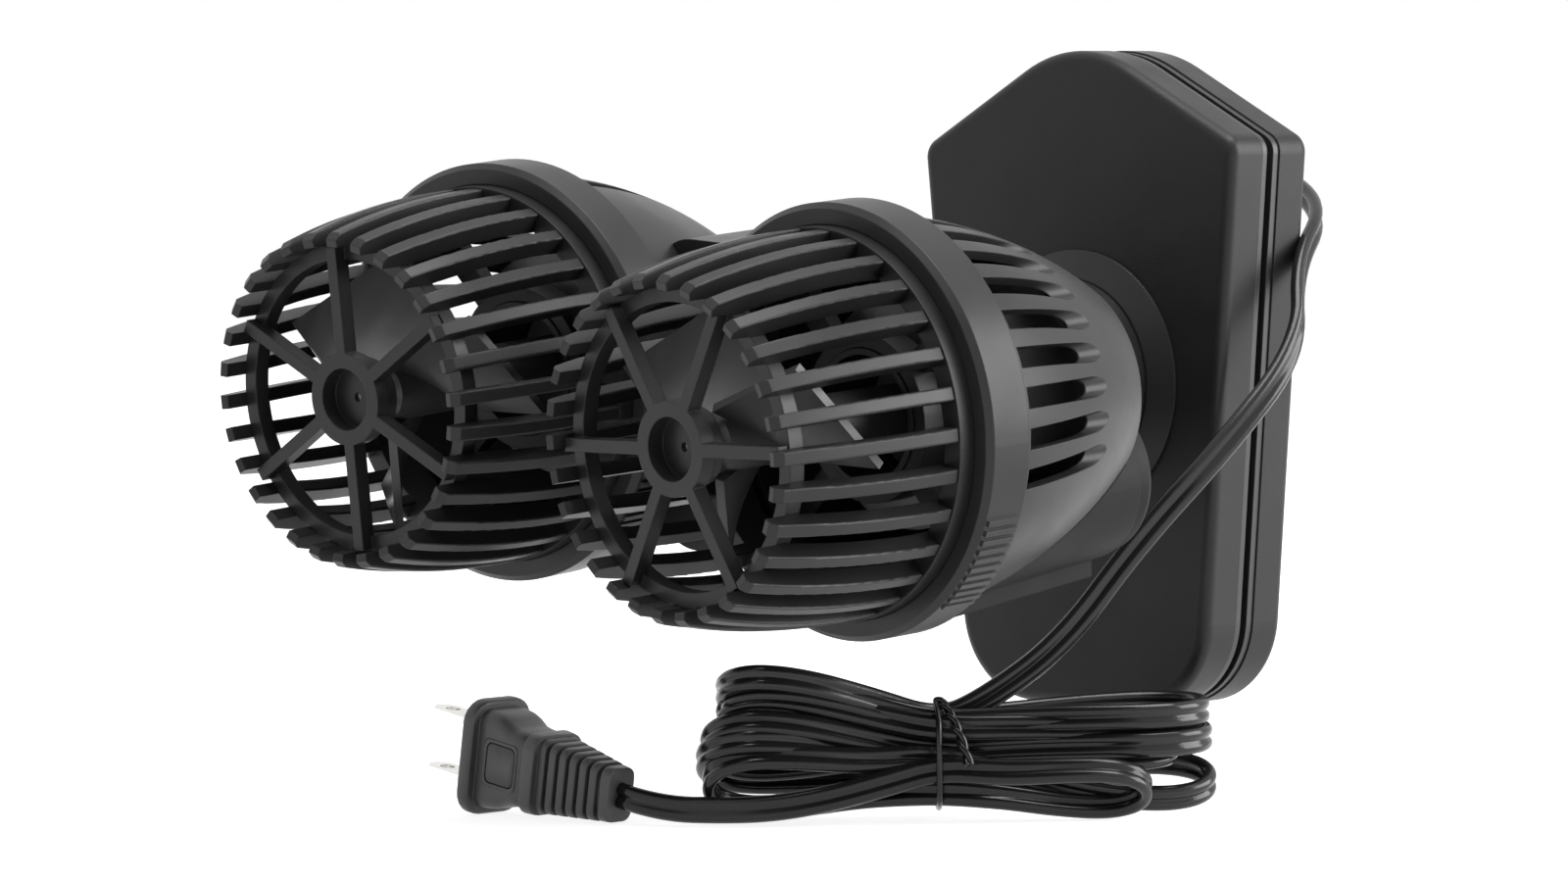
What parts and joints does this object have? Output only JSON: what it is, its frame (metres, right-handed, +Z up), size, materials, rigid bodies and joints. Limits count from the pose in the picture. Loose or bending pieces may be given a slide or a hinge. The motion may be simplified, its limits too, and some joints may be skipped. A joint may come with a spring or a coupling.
{
  "type": "aquarium circulation pump",
  "caption": "Twin-head aquarium circulation pump with strainer cages on a tilting ball joint, a two-half magnetic glass mount and a flat mains cord.",
  "frame": {"origin": "centre of the glass plane between the two mount halves, level with the ball joint", "axes": "+Z up, +Y through the glass from the wet side to the dry side, the heads stand out along -Y, +X across the mount"},
  "size_m": [0.1924, 0.236, 0.1612],
  "materials": {
    "mount_plastic": "fine textured moulded black ABS",
    "mount_plate": "moulded black ABS, smooth",
    "glass_pad": "soft black pad",
    "magnet": "nickel-grey coated magnet",
    "satin_plastic": "satin moulded black ABS",
    "cage_plastic": "satin moulded black ABS",
    "impeller_plastic": "grey moulded plastic",
    "nylon": "natural nylon",
    "steel": "stainless steel",
    "copper_coil": "enamelled copper winding on steel",
    "rotor_magnet": "dark ferrite magnet",
    "ceramic": "white ceramic shaft",
    "seal_rubber": "black rubber",
    "cord_pvc": "glossy black flat PVC cord",
    "plug_pvc": "satin black moulded PVC",
    "blade_metal": "nickel-plated brass"
  },
  "bodies": {
    "mount": {"wet_shell": "mount_plastic", "wet_plate": "mount_plate", "wet_pad": "glass_pad", "wet_magnets": "magnet", "socket_flange": "satin_plastic", "socket_nut": "satin_plastic", "flange_screws": "steel", "cord_gland": "plug_pvc", "cord_run": "cord_pvc", "cord_hank": "cord_pvc", "cord_tie": "plug_pvc", "cord_lead": "cord_pvc", "plug_relief": "plug_pvc", "plug_body": "plug_pvc", "plug_blades": "blade_metal"},
    "dry_half": {"dry_shell": "mount_plastic", "dry_plate": "mount_plate", "dry_pad": "glass_pad", "dry_magnets": "magnet"},
    "swivel": {"ball_liner": "nylon"},
    "ball": {"ball_stem": "satin_plastic", "stem_clip": "steel"},
    "carriage": {"bridge": "satin_plastic", "bridge_plug": "satin_plastic", "bridge_screws": "steel", "left_rear_housing": "satin_plastic", "left_barrel": "satin_plastic", "left_barrel_cap": "satin_plastic", "left_stator": "copper_coil", "left_motor_can": "cage_plastic", "left_spider": "cage_plastic", "left_collar": "satin_plastic", "left_collar_seal": "seal_rubber", "left_shaft": "ceramic", "left_rear_bush": "nylon", "right_rear_housing": "satin_plastic", "right_barrel": "satin_plastic", "right_barrel_cap": "satin_plastic", "right_stator": "copper_coil", "right_motor_can": "cage_plastic", "right_spider": "cage_plastic", "right_collar": "satin_plastic", "right_collar_seal": "seal_rubber", "right_shaft": "ceramic", "right_rear_bush": "nylon"},
    "left_strainer": {"left_cage_base": "cage_plastic", "left_cage_bars": "cage_plastic", "left_cage_guard": "cage_plastic"},
    "left_rotor": {"left_impeller": "impeller_plastic", "left_rotor_magnet": "rotor_magnet"},
    "right_strainer": {"right_cage_base": "cage_plastic", "right_cage_bars": "cage_plastic", "right_cage_guard": "cage_plastic"},
    "right_rotor": {"right_impeller": "impeller_plastic", "right_rotor_magnet": "rotor_magnet"}
  },
  "joints": [
    {"name": "glass_gap_slide", "type": "slide", "parent": "mount", "child": "dry_half", "axis": [0, 1, 0], "range_m": [0, 0.008]},
    {"name": "pan", "type": "hinge", "parent": "mount", "child": "swivel", "pos_m": [0, -0.0206, 0], "axis": [0, 0, 1], "range_deg": [-12, 12]},
    {"name": "tilt", "type": "hinge", "parent": "swivel", "child": "ball", "pos_m": [0, -0.0206, 0], "axis": [1, 0, 0], "range_deg": [-18, 4]},
    {"name": "roll", "type": "hinge", "parent": "ball", "child": "carriage", "pos_m": [0, -0.0206, 0], "axis": [0, -0.9966, -0.0819], "range_deg": [-10, 10]},
    {"name": "left_cage_twist", "type": "hinge", "parent": "carriage", "child": "left_strainer", "pos_m": [-0.04794, -0.13333, 0.00611], "axis": [0.0521, -0.9949, -0.0865], "range_deg": [0, 25]},
    {"name": "left_impeller_spin", "type": "hinge", "parent": "carriage", "child": "left_rotor", "pos_m": [-0.04856, -0.12139, 0.00714], "axis": [0.0521, -0.9949, -0.0865], "continuous": true},
    {"name": "right_cage_twist", "type": "hinge", "parent": "carriage", "child": "right_strainer", "pos_m": [0.04989, -0.13261, -0.0026], "axis": [-0.0521, -0.9957, -0.0772], "range_deg": [0, 25]},
    {"name": "right_impeller_spin", "type": "hinge", "parent": "carriage", "child": "right_rotor", "pos_m": [0.05052, -0.12066, -0.00167], "axis": [-0.0521, -0.9957, -0.0772], "continuous": true}
  ]
}
